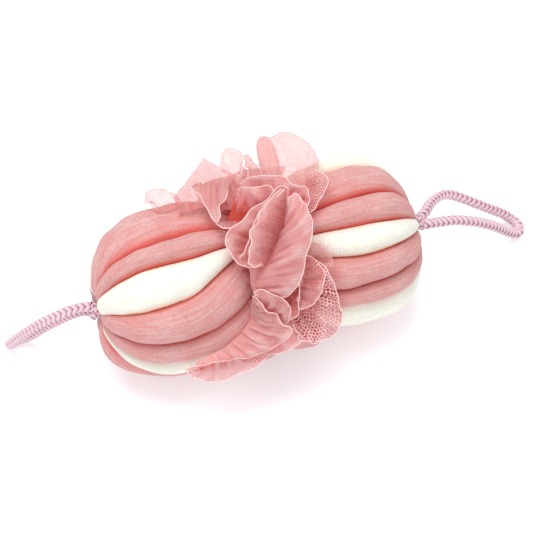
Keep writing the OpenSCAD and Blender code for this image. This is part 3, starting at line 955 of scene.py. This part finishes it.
def back_folds(rng, tier):
    """Folds round the back and underneath, of uneven size."""
    pitch = (BACK_TO - BACK_FROM) / BACK_FOLDS
    middle = TIER_X[tier]
    for k in range(BACK_FOLDS):
        angle = BACK_FROM + pitch * (k + 0.5) + rng.uniform(-4, 4) + (pitch / 3) * (tier == "middle")
        lean = (1 if k % 2 else -1) * rng.uniform(4, 9)
        tall = np.interp(angle, *zip(*BACK_HEIGHTS)) + rng.uniform(-2, 2)
        half = rng.uniform(0.55, 0.8) * pitch
        wide = rng.uniform(9, 14)
        rim = [(middle - wide + lean, tall - 6, angle - half), (middle - wide + lean, tall, angle - half / 2),
               (middle + lean / 2, tall + 3, angle), (middle + wide + lean, tall, angle + half / 3),
               (middle + wide + lean / 2, tall - 6, angle + half)]
        foot = [(middle / 3 - 2, 20, angle - half / 2), (middle / 3, 18, angle),
                (middle / 3 + 2, 20, angle + half / 2)]
        yield f"back_{k}", dict(rim=rim, foot=foot, cup=4, coarse=rng.uniform(0.35, 0.8))


def valley_frill(rng, tier):
    """The tightly gathered net deep between the balls, in pleats all round the tie."""
    pleats = 30
    columns = pleats * 16
    rows = 26
    turn = np.linspace(0, 2 * math.pi, columns)[None, :]
    v = np.linspace(0, 1, rows)[:, None]
    side = TIER_X[tier] / max(1, abs(TIER_X[tier]))
    zigzag = np.sin(pleats * turn + rng.uniform(0, 6) + 0.8 * np.sin(3 * turn))
    r = TIE_R + (47 * MM + 3 * MM * np.sin(7 * turn + side) - TIE_R) * v
    x = side * (3 + 10 * v) * MM + (2 + 8 * v) * MM * zigzag
    angle = turn + math.radians(2.5) * np.sin(2 * pleats * turn) * v
    points = about_axis(x, r, angle)
    # Its crest, from the zigzag: painted light on the pleats' ridges and painted shade in their hollows
    weave = together(turn / (2 * math.pi) * pleats * 18, v * 42, 0.2, 0.4 + 0.3 * zigzag)
    return clear_of_neighbours(points), weave


def ruffle_tier(tier, body, net, edge):
    """One tier of the gathered net: its folds as one sheet, and the rolled edge along their rims."""
    rng = np.random.default_rng({"left": 31, "middle": 32, "right": 33}[tier])
    cloth, hems = Parts(), Parts()
    for name, fold in [*FOLDS[tier].items(), *back_folds(rng, tier)]:
        points, weave = fold_of_net(rng, **fold)
        cloth.add(points, grid_faces(*points.shape[:2]), [], weave)
        if name not in HEMLESS:
            hems.add(*thread_tube(points[-1], HEM_R))
    points, weave = valley_frill(rng, tier)
    cloth.add(points, grid_faces(*points.shape[:2]), [], weave)
    sheet = cloth.piece(f"ruffle_{tier}_net", net)
    hem = hems.piece(f"ruffle_{tier}_hem", edge)
    for piece in (sheet, hem):
        if tier == "middle":
            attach(piece, body)
        else:
            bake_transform(piece)
    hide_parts(f"ruffle_{tier}_tier")


# ---------------------------------------------------------------- camera, floor and light

CAMERA_AZIMUTH, CAMERA_ELEVATION = math.radians(-18), math.radians(57)
CAMERA_DISTANCE = 1.404
CAMERA_LENS = 135
CAMERA_TARGET = Vector((3.9 * MM, 0, 55 * MM))


def make_camera():
    data = bpy.data.cameras.new("camera")
    data.lens = CAMERA_LENS
    data.sensor_width = 36
    camera = bpy.data.objects.new("camera", data)
    back = Vector((math.sin(CAMERA_AZIMUTH) * math.cos(CAMERA_ELEVATION),
                   -math.cos(CAMERA_AZIMUTH) * math.cos(CAMERA_ELEVATION),
                   math.sin(CAMERA_ELEVATION)))
    camera.location = CAMERA_TARGET + back * CAMERA_DISTANCE
    camera.rotation_mode = "QUATERNION"
    camera.rotation_quaternion = (-back).to_track_quat("-Z", "Y")
    bpy.context.scene.collection.objects.link(camera)
    bpy.context.scene.camera = camera


def make_floor():
    half = 4.0
    corners = np.array([[-half, -half, 0], [half, -half, 0], [half, half, 0], [-half, half, 0]])
    floor = mesh_piece("floor", corners, np.array([[0, 1, 2, 3]]), floor_material())


def area_light(name, place, size, power, colour=(1, 1, 1), aim=(0, 0, 0.03)):
    data = bpy.data.lights.new(name, "AREA")
    data.shape = "DISK"
    data.size = size
    data.energy = power
    data.color = colour
    light = bpy.data.objects.new(name, data)
    light.location = place
    light.rotation_mode = "QUATERNION"
    light.rotation_quaternion = (Vector(aim) - Vector(place)).to_track_quat("-Z", "Y")
    bpy.context.scene.collection.objects.link(light)


def make_light():
    world = bpy.data.worlds.new("studio")
    world.use_nodes = True
    world.node_tree.nodes["Background"].inputs[0].default_value = (0.985, 0.99, 1, 1)
    world.node_tree.nodes["Background"].inputs[1].default_value = 0.76
    bpy.context.scene.world = world
    area_light("overhead", (-0.15, 0.25, 1.6), 1.1, 17)
    area_light("front_fill", (-0.6, -1.4, 0.9), 1.0, 5)
    bpy.context.scene.view_settings.view_transform = "Standard"
    bpy.context.scene.view_settings.look = "None"


# ---------------------------------------------------------------- the scene

make_camera()
BRAID = braid_material()
for side in (LEFT, RIGHT):
    hand_loop(side, BRAID)
    end_knot(side, BRAID)
    core_cord(side, BRAID)
waist_cord(BRAID)
bindings(BRAID)

# Each knit: crest colour, darker knit, the painted shade and glow of its creases, and how strong its streaks
# and painted shade are
PINK = knit_material("pink_ribbed_knit", srgb(209, 168, 165), srgb(200, 112, 108), srgb(214, 78, 62), 0.75)
CREAM = knit_material("cream_ribbed_knit", srgb(236, 235, 226), srgb(222, 212, 190), srgb(248, 196, 158), 0.4)
FOAM = foam_material()
for side in (LEFT, RIGHT):
    for index in range(1, SLEEVES + 1):
        lobe(side, index, CREAM if is_cream(index) else PINK)
    foam_strips(side, FOAM)
    neck(side, PINK)

NET, HEM = net_material(), hem_material()
ruffle_tier("left", "left_neck", NET, HEM)
ruffle_tier("middle", "ruffle", NET, HEM)
ruffle_tier("right", "right_neck", NET, HEM)

make_floor()
make_light()
